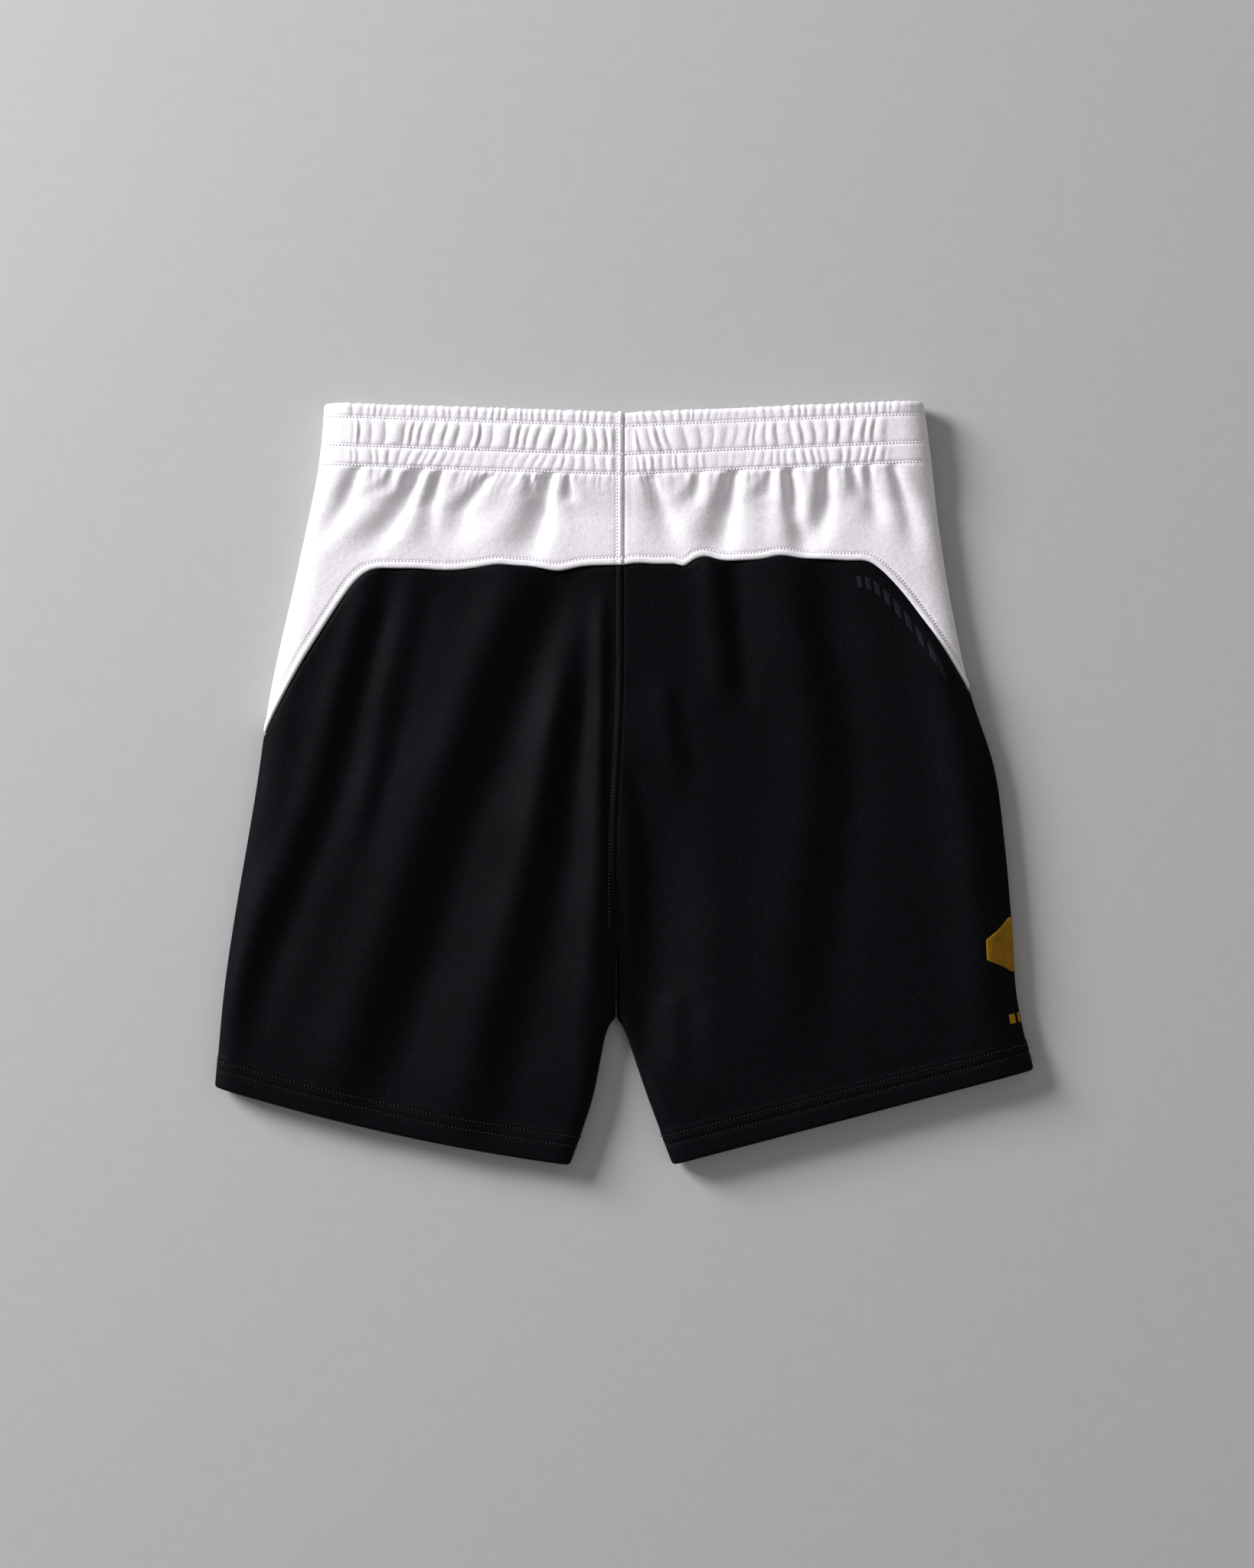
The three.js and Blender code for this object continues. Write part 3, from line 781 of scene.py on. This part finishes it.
def wales(tree, scale, distortion):
    # knitted columns, running down the cloth's own map
    mapNode = node(tree, "ShaderNodeUVMap", uv_map="clothMap")
    made = node(tree, "ShaderNodeTexWave", wave_type="BANDS", bands_direction="X")
    fill(made, Scale=scale, Distortion=distortion, Detail=2.0)
    made.inputs["Detail Scale"].default_value = 3.0
    tree.links.new(mapNode.outputs["UV"], made.inputs["Vector"])
    return made.outputs["Fac"]


fleeceLooks = {
    "white_fleece": {
        "dark": (0.70, 0.675, 0.70), "light": (0.885, 0.865, 0.90),
        "sheen": 0.15, "sheenTint": (1, 0.98, 1, 1), "specular": 0.25, "fuzz": 0.42,
        "ramp": (0.36, 0.6), "rough": (0.84, 1.0),
    },
    "black_fleece": {
        "dark": (0.0003, 0.0003, 0.0007), "light": (0.0032, 0.0029, 0.0049),
        "sheen": 0.03, "sheenTint": (0.55, 0.58, 0.75, 1), "specular": 0.05, "fuzz": 0.6,
        "ramp": (0.40, 0.60), "rough": (0.5, 0.66),
    },
}


def fleece(name):
    look = fleeceLooks[name]
    material, tree, shader, coords = startMaterial(
        name, 0.92, **{"Sheen Weight": look["sheen"], "Sheen Roughness": 0.45,
                       "Sheen Tint": look["sheenTint"], "Specular IOR Level": look["specular"]})
    fuzz = noise(tree, coords, 1150, 4, 0.62)
    tuft = noise(tree, coords, 260, 3, 0.55)
    cloud = noise(tree, coords, 16, 2, 0.5)
    knit = wales(tree, 330, 1.2)
    shade = blendOf(tree, [(fuzz, 0.62), (tuft, 0.2), (cloud, 0.1), (knit, 0.08)])
    low, high = look["ramp"]
    colourFrom(tree, shader, shade, low, look["dark"], high, look["light"])
    roughnessFrom(tree, shader, fuzz, *look["rough"])
    bumpOn(tree, shader, [(tuft, 0.35, 0.0006), (fuzz, look["fuzz"], 0.0004), (knit, 0.1, 0.0002)])
    return material


def thread(name, colour):
    material, tree, shader, coords = startMaterial(name, 0.55, **{"Specular IOR Level": 0.35})
    strand = noise(tree, coords, 2400, 2, 0.6)
    darker = tuple(0.78 * c for c in colour)
    colourFrom(tree, shader, strand, 0.35, darker, 0.6, colour)
    roughnessFrom(tree, shader, strand, 0.45, 0.7)
    bumpOn(tree, shader, [(strand, 0.4, 0.0002)])
    return material


def printedFilm(name, dark, light, roughness):
    # heat-pressed print: the fleece's nap shows through the film
    material, tree, shader, coords = startMaterial(
        name, roughness, **{"Specular IOR Level": 0.12})
    nap = noise(tree, coords, 900, 3, 0.6)
    wear = noise(tree, coords, 120, 3, 0.6)
    shade = blendOf(tree, [(nap, 0.6), (wear, 0.4)])
    colourFrom(tree, shader, shade, 0.36, dark, 0.62, light)
    roughnessFrom(tree, shader, shade, roughness - 0.12, roughness + 0.15)
    bumpOn(tree, shader, [(wear, 0.2, 0.0005), (nap, 0.35, 0.0003)])
    return material


def steel(name):
    material, tree, shader, coords = startMaterial(name, 0.3, Metallic=1.0)
    brushed = noise(tree, coords, 1800, 3, 0.6)
    tarnish = noise(tree, coords, 300, 2, 0.5)
    colourFrom(tree, shader, tarnish, 0.35, (0.42, 0.42, 0.44), 0.65, (0.62, 0.62, 0.63))
    roughnessFrom(tree, shader, brushed, 0.2, 0.42)
    bumpOn(tree, shader, [(brushed, 0.12, 0.0001)])
    return material


def ribbed(name, colour, ribScale, strength):
    # woven webbing or satin: fine ribs along the map, with a crosswise thread
    material, tree, shader, coords = startMaterial(name, 0.7, **{"Sheen Weight": 0.1})
    ribs = wales(tree, ribScale, 0.3)
    fibre = noise(tree, coords, 1900, 3, 0.6)
    shade = blendOf(tree, [(ribs, 0.5), (fibre, 0.5)])
    darker = tuple(0.8 * c for c in colour)
    colourFrom(tree, shader, shade, 0.2, darker, 0.7, colour)
    roughnessFrom(tree, shader, fibre, 0.45, 0.8)
    bumpOn(tree, shader, [(ribs, strength, 0.0005), (fibre, 0.2, 0.0002)])
    return material


whiteFleece, blackFleece = fleece("white_fleece"), fleece("black_fleece")
whiteThread = thread("white_thread", (0.93, 0.92, 0.95))
blackThread = thread("black_thread", (0.0035, 0.0035, 0.0045))
goldPrint = printedFilm("gold_print", (0.19, 0.088, 0.0008), (0.32, 0.165, 0.003), 0.55)
tonalPrint = printedFilm("tonal_print", (0.006, 0.0056, 0.008), (0.012, 0.0112, 0.0145), 0.6)
eyeletSteel = steel("eyelet_metal")
elasticWeb = ribbed("elastic_web", (0.80, 0.79, 0.78), 170, 0.6)
labelSatin = ribbed("label_satin", (0.88, 0.88, 0.90), 700, 0.2)
print("materials made")

view = {"place": (0.002, -0.0005, 3.009), "lens": 70.3, "sensor": 24}  # metres, then mm
camera = bpy.data.cameras.new("camera")
camera.sensor_fit, camera.sensor_height = "VERTICAL", view["sensor"]
camera.lens = view["lens"]
cameraPiece = putIn("camera", camera)
cameraPiece.location = view["place"]
bpy.context.scene.camera = cameraPiece

bendEnd = (-0.0185, 0, 0)  # just short of the left eyelet


def attach(piece, half, node):
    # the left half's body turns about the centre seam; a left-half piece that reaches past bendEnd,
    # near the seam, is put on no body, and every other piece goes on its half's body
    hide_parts(*([node] if isinstance(node, str) else node))
    reach = max(v.co.x for v in piece.data.vertices)
    if half is leftHalf and reach > bendEnd[0]:
        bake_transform(piece)
    else:
        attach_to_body(piece, f"{half['name']}_half")
    return piece


for half in (leftHalf, rightHalf):
    for layer in ("back", "front"):
        yokePiece = yokeWall(half, layer, whiteFleece)
        panelPiece = panelWall(half, layer, blackFleece)
        attach(yokePiece, half, f"{layer}_yoke_{half['name']}")
        attach(panelPiece, half, f"{layer}_panel_{half['name']}")

stitching = {
    "pitch": 2.2,
    "long": 1.5,
    "wide": 1.0,
    "hemPitch": 2.4,
    "seed": 4,
    "sit": 0.42,  # the thread's middle above the dented cloth
    "clear": 0.56,  # the least height of a thread's middle above the table
}


def stitchTree():
    tree = bpy.data.node_groups.new("stitchRow", "GeometryNodeTree")
    face = tree.interface
    face.new_socket("Geometry", in_out="INPUT", socket_type="NodeSocketGeometry")
    for name in ("Pitch", "Long", "Wide"):
        face.new_socket(name, in_out="INPUT", socket_type="NodeSocketFloat")
    face.new_socket("Seed", in_out="INPUT", socket_type="NodeSocketInt")
    face.new_socket("Thread", in_out="INPUT", socket_type="NodeSocketMaterial")
    face.new_socket("Geometry", in_out="OUTPUT", socket_type="NodeSocketGeometry")
    start, end = node(tree, "NodeGroupInput"), node(tree, "NodeGroupOutput")
    wire = tree.links.new
    curve = node(tree, "GeometryNodeMeshToCurve")
    spaced = node(tree, "GeometryNodeResampleCurve", mode="LENGTH")
    bead = fill(node(tree, "GeometryNodeMeshUVSphere"), Segments=7, Rings=5, Radius=0.5)
    size = node(tree, "ShaderNodeCombineXYZ")
    shaped = node(tree, "GeometryNodeTransform")
    tangent = node(tree, "GeometryNodeInputTangent")
    turn = node(tree, "FunctionNodeAlignRotationToVector", axis="X")
    placed = node(tree, "GeometryNodeInstanceOnPoints")
    vary = node(tree, "FunctionNodeRandomValue", data_type="FLOAT")
    real = node(tree, "GeometryNodeRealizeInstances")
    soft = node(tree, "GeometryNodeSetShadeSmooth")
    dressed = node(tree, "GeometryNodeSetMaterial")
    for source, output, target, entry in (
            (start, "Geometry", curve, "Mesh"), (curve, "Curve", spaced, "Curve"),
            (start, "Pitch", spaced, "Length"), (start, "Long", size, "X"),
            (start, "Wide", size, "Y"), (start, "Wide", size, "Z"),
            (bead, "Mesh", shaped, "Geometry"), (size, "Vector", shaped, "Scale"),
            (tangent, "Tangent", turn, "Vector"), (spaced, "Curve", placed, "Points"),
            (shaped, "Geometry", placed, "Instance"), (turn, "Rotation", placed, "Rotation"),
            (start, "Seed", vary, "Seed"), (placed, "Instances", real, "Geometry"),
            (real, "Geometry", soft, "Geometry"), (soft, "Geometry", dressed, "Geometry"),
            (start, "Thread", dressed, "Material"), (dressed, "Geometry", end, "Geometry")):
        wire(source.outputs[output], target.inputs[entry])
    low, high = [s for s in vary.inputs if s.enabled and s.type == "VALUE"][:2]
    low.default_value, high.default_value = 0.86, 1.12  # stitches differ a little in size
    wire([s for s in vary.outputs if s.enabled][0], placed.inputs["Scale"])
    return tree


stitchNodes = stitchTree()


def stitches(name, paths, material, pitch):
    # paths are lists of points on the cloth; each becomes one row of thread
    points = np.concatenate(paths) / 1000
    points[:, 2] = np.maximum(points[:, 2], stitching["clear"] / 1000)
    edges, first = [], 0
    for path in paths:
        edges += [(i, i + 1) for i in range(first, first + len(path) - 1)]
        first += len(path)
    mesh = bpy.data.meshes.new(name)
    mesh.from_pydata(points.tolist(), edges, [])
    guide = putIn(name + "_guide", mesh)
    modifier = guide.modifiers.new("stitches", "NODES")
    modifier.node_group = stitchNodes
    values = {"Pitch": pitch / 1000, "Long": stitching["long"] / 1000,
              "Wide": stitching["wide"] / 1000, "Seed": stitching["seed"], "Thread": material}
    for item in stitchNodes.interface.items_tree:
        if item.in_out == "INPUT" and item.name in values:
            modifier[item.identifier] = values[item.name]
    evaluated = guide.evaluated_get(bpy.context.evaluated_depsgraph_get())
    result = bpy.data.meshes.new_from_object(evaluated)
    guide.modifiers.clear()
    bpy.data.objects.remove(guide)
    result.name = name
    return putIn(name, result)


def columnBeside(distance):
    return math.acos(1 - min(distance / garment["innerRoll"], 1)) / (math.pi / 2)


def aroundHalf(half, kind, runAt, start=0.0, ring=False):
    # along the back, over the side seam, and back along the front
    columns = np.concatenate([np.linspace(start, 1, 30), np.linspace(1, 2, 300)[1:],
                              np.linspace(2, 3, 24)[1:]])
    back = onCloth(half, "back", kind, columns, runAt(columns), stitching["sit"])
    front = onCloth(half, "front", kind, columns, runAt(columns), stitching["sit"])
    path = np.concatenate([back, front[::-1][1:]])
    return np.concatenate([path, path[:1]]) if ring else path


def downCentre(layer, kind, low, high):
    runs = np.arange(low, high, 0.8)
    column = columnBeside(relief["weltWide"] + 0.3)
    path = onCloth(leftHalf, layer, kind, column, runs, stitching["sit"])
    return path


threadPieces = []
for half in (leftHalf, rightHalf):
    name = half["name"]
    start = columnBeside(1.0)
    rows = {f"casing_row_{i + 1}": (lambda c, run=run: run + 0 * c)
            for i, run in enumerate(garment["rows"])}
    rows["yoke_topstitch"] = lambda c, half=half: (
        seamRun(half, c) - (relief["weltWide"] + 0.4) / seamSlant(half, "back", c))
    for row, runAt in rows.items():
        path = aroundHalf(half, "yoke", runAt, start)
        piece = stitches(f"{row}_{name}_thread", [path], whiteThread, stitching["pitch"])
        threadPieces.append(attach(piece, half, f"{row}_{name}"))
    for i, up in enumerate(garment["hemRows"]):
        path = aroundHalf(half, "panel", lambda c, up=up: hemRun - up + 0 * c, ring=True)
        piece = stitches(f"hem_row_{i + 1}_{name}_thread", [path], blackThread, stitching["hemPitch"])
        threadPieces.append(attach(piece, half, f"hem_row_{i + 1}_{name}"))
for layer, cadNode in (("back", "seat_topstitch"), ("front", "front_topstitch")):
    seam = float(seamRun(leftHalf, np.array([columnBeside(5)]))[0])
    upper = downCentre(layer, "yoke", 2.0, seam - 1)
    lower = downCentre(layer, "panel", seam + 1.5, garment["rise"] - 60)
    whitePart = stitches(f"{cadNode}_upper", [upper], whiteThread, stitching["pitch"])
    blackPart = stitches(f"{cadNode}_lower", [lower], blackThread, stitching["pitch"])
    threadPieces.append(attach(whitePart, leftHalf, cadNode))
    threadPieces.append(attach(blackPart, leftHalf, cadNode))
print("stitched:", len(threadPieces), "rows of thread")

# depths of the band's two faces, its run down the casing, and its grid
elastic = {"from": 2.0, "to": 3.2, "runs": (3.6, 38.6), "step": 2.4, "lines": 24}


def elasticBand(half):
    columns = clothColumns(elastic["step"])
    runs = np.linspace(*elastic["runs"], elastic["lines"])

    def ply(depth):
        sides = [skin(half, layer, columns[:, None], runs[None, :], depth)
                 for layer in ("back", "front")]
        return np.concatenate([sides[0], sides[1][::-1][1:]])

    outside, inside = ply(elastic["from"]), ply(elastic["to"])
    points, faces = wall(outside, inside)
    s = np.cumsum(np.linalg.norm(np.diff(outside, axis=0, prepend=outside[:1]), axis=-1), 0)
    uv = np.stack([s, runs[None, :] + 0 * s], -1).reshape(-1, 2) / 1000
    piece = newMesh(f"elastic_band_{half['name']}", points, faces, elasticWeb, np.concatenate([uv, uv]))
    return attach(piece, half, f"elastic_{half['name']}")


elasticPieces = [elasticBand(half) for half in (leftHalf, rightHalf)]

eyeletShape = {  # radius and height of the rolled flange and barrel
    "profile": [(2.6, 2.1), (2.6, 0.5), (2.68, 0.24), (2.9, 0.06), (3.3, 0.0), (4.3, 0.0),
                (4.85, 0.05), (5.15, 0.2), (5.2, 0.34), (5.05, 0.44), (4.6, 0.47), (3.2, 0.47),
                (3.2, 2.1), (2.9, 2.2)],
    "turns": 56,
}


def eyelet(half):
    middle = eyeletMiddle(half)
    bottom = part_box(f"eyelet_{half['name']}")[0].z * 1000
    angle = np.linspace(0, 2 * math.pi, eyeletShape["turns"], endpoint=False)[:, None]
    radius, height = np.array(eyeletShape["profile"]).T
    ring = np.stack([middle.x + radius * np.cos(angle), middle.y + radius * np.sin(angle),
                     bottom + height + 0 * angle], -1)
    count = len(radius)
    index = np.arange(ring.shape[0] * count).reshape(-1, count)
    a, b = index, np.roll(index, -1, 0)
    c, d = np.roll(b, -1, 1), np.roll(a, -1, 1)
    faces = np.stack([a, d, c, b], -1).reshape(-1, 4)
    piece = newMesh(f"eyelet_{half['name']}_ring", ring.reshape(-1, 3), faces, eyeletSteel)
    return attach(piece, half, f"eyelet_{half['name']}")


for half in (leftHalf, rightHalf):
    eyelet(half)

printing = {
    "film": 0.12,
    "badge": {"run": 401, "height": 44, "back": 21, "front": 12, "blunt": 7},
    "bar": {"run": 455, "height": 7, "back": 18, "front": 12, "dash": 4.2, "space": 2.4},
    "tonal": {"from": 1.7715, "to": 2.1, "below": (11, 20), "width": (8.5, 14), "dashes": 11,
              "share": 0.62},
}


def filmOn(half, layer, columns, low, high, steps=8):
    # one patch of print between two edges, given at each column
    t = np.linspace(0, 1, steps)[None, :]
    runs = low[:, None] + (high - low)[:, None] * t
    return [onCloth(half, layer, "panel", columns[:, None] + 0 * runs, runs, lift)
            for lift in (0.06 + printing["film"], 0.06)]


def joinFilms(name, patches, material):
    points, faces, first = [], [], 0
    for outside, inside in patches:
        p, f = wall(outside, inside)
        points.append(p)
        faces.append(f + first)
        first += len(p)
    return newMesh(name, np.concatenate(points), np.concatenate(faces), material)


def sideColumn(run):
    # column at a distance from the side fold, measured along the cloth
    roll = (garment["sideRoll"] + bodyThick / 2) * math.pi / 4
    inner, outer = rowEnds(rightHalf, np.array(float(run)))
    flat = np.linalg.norm(outer - inner) - garment["innerRoll"] - garment["sideRoll"]
    return lambda mm: 3 - np.minimum(mm / roll, 1) - np.maximum(mm - roll, 0) / flat


def acrossSide(shape, spans, edgesAt):
    # patches that wrap the side fold; spans run from the back (+) to the front (-)
    columnAt = sideColumn(shape["run"])
    patches = []
    for low, high in spans:
        mm = np.linspace(high, low, max(4, int((high - low) / 0.7)))
        backPart, frontPart = mm[mm >= 0], mm[mm <= 0]
        grids = []
        for layer, part in (("back", backPart), ("front", frontPart)):
            if len(part) > 1:
                reach = edgesAt(part)
                grids.append(filmOn(rightHalf, layer, columnAt(np.abs(part)),
                                    shape["run"] - reach, shape["run"] + reach, 14))
        patches.append([np.concatenate([g[k] for g in grids]) for k in (0, 1)])
    return patches


def badgeReach(mm):
    shape = printing["badge"]
    middle, arm = (shape["back"] - shape["front"]) / 2, (shape["back"] + shape["front"]) / 2
    share = np.hypot((mm - middle) / arm, 0.12) / math.hypot(1, 0.12)
    return lerp(shape["height"] / 2, shape["blunt"], share)


badge, bar, tonal = printing["badge"], printing["bar"], printing["tonal"]
badgePiece = joinFilms("side_badge_film",
                       acrossSide(badge, [(-badge["front"], badge["back"])], badgeReach), goldPrint)
attach(badgePiece, rightHalf, "side_badge")
stride = bar["dash"] + bar["space"]
dashes = [(start, start + bar["dash"]) for start in np.arange(-bar["front"], bar["back"] - 4, stride)]
barPiece = joinFilms("side_bar_film",
                     acrossSide(bar, dashes, lambda mm: bar["height"] / 2 + 0 * mm), goldPrint)
attach(barPiece, rightHalf, "side_bar")


def tonalDashes():
    edges = np.linspace(tonal["from"], tonal["to"], tonal["dashes"] + 1)
    patches = []
    for low, high in zip(edges[:-1], edges[1:]):
        columns = np.linspace(low, lerp(low, high, tonal["share"]), 6)
        t = (columns - tonal["from"]) / (tonal["to"] - tonal["from"])
        top = seamRun(rightHalf, columns) + lerp(*tonal["below"], t)
        patches.append(filmOn(rightHalf, "back", columns, top, top + lerp(*tonal["width"], t)))
    return patches


tonalPiece = joinFilms("tonal_print_film", tonalDashes(), tonalPrint)
attach(tonalPiece, rightHalf, "tonal_print")

label = {"thick": 0.35, "curl": 1.6, "drop": 1.2}


def careLabel():
    low, high = (np.array(corner) * 1000 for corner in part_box("care_label"))
    x = np.linspace(low[0], high[0], 20)[:, None]
    y = np.linspace(high[1], low[1], 34)[None, :]
    down = (high[1] - y) / (high[1] - low[1])
    wave = np.sin((x - low[0]) / (high[0] - low[0]) * math.pi)
    z = low[2] - label["drop"] - label["curl"] * down**2 * (0.6 + 0.4 * wave)
    outside = np.stack(np.broadcast_arrays(x, y, z + label["thick"]), -1)
    inside = np.stack(np.broadcast_arrays(x, y, z), -1)
    points, faces = wall(outside, inside)
    uv = outside[..., :2].reshape(-1, 2) / 1000
    piece = newMesh("care_label_satin", points, faces, labelSatin, np.concatenate([uv, uv]))
    return attach(piece, rightHalf, "care_label")


labelPiece = careLabel()
print("trims made")

studio = {
    "floor": (0.46, 0.465, 0.465),
    "key": {"place": (-2.9, 1.8, 1.42), "size": 1.35, "power": 242},
    "fill": {"place": (1.4, -0.6, 1.9), "size": 2.0, "power": 5},
    "lamp": (0.97, 0.965, 1),
    "sky": 0.26,
    "skyTint": (1, 0.965, 0.945, 1),
    "reach": 3000,  # of the floor, each way, in mm
}


def areaLight(name, place, size, power):
    light = bpy.data.lights.new(name, "AREA")
    light.shape, light.size, light.energy = "SQUARE", size, power
    light.color = studio["lamp"]
    piece = putIn(name, light)
    piece.location = place
    piece.rotation_euler = (-Vector(place)).to_track_quat("-Z", "Y").to_euler()


for name in ("key", "fill"):
    areaLight(name, **studio[name])

world = bpy.data.worlds.new("studio")
world.use_nodes = True
fill(world.node_tree.nodes["Background"], Color=studio["skyTint"], Strength=studio["sky"])
bpy.context.scene.world = world
bpy.context.scene.view_settings.view_transform = "Standard"

floorMaterial, floorTree, floorShader, floorCoords = startMaterial("studio_floor", 0.9)
floorGrain = noise(floorTree, floorCoords, 90, 4, 0.6)
floorDark = tuple(0.97 * c for c in studio["floor"])
colourFrom(floorTree, floorShader, floorGrain, 0.3, floorDark, 0.7, studio["floor"])
reach = studio["reach"]
corners = [(-reach, -reach, 0), (reach, -reach, 0), (reach, reach, 0), (-reach, reach, 0)]
floor = newMesh("floor", corners, [(0, 1, 2, 3)], floorMaterial, smoothShade=False)
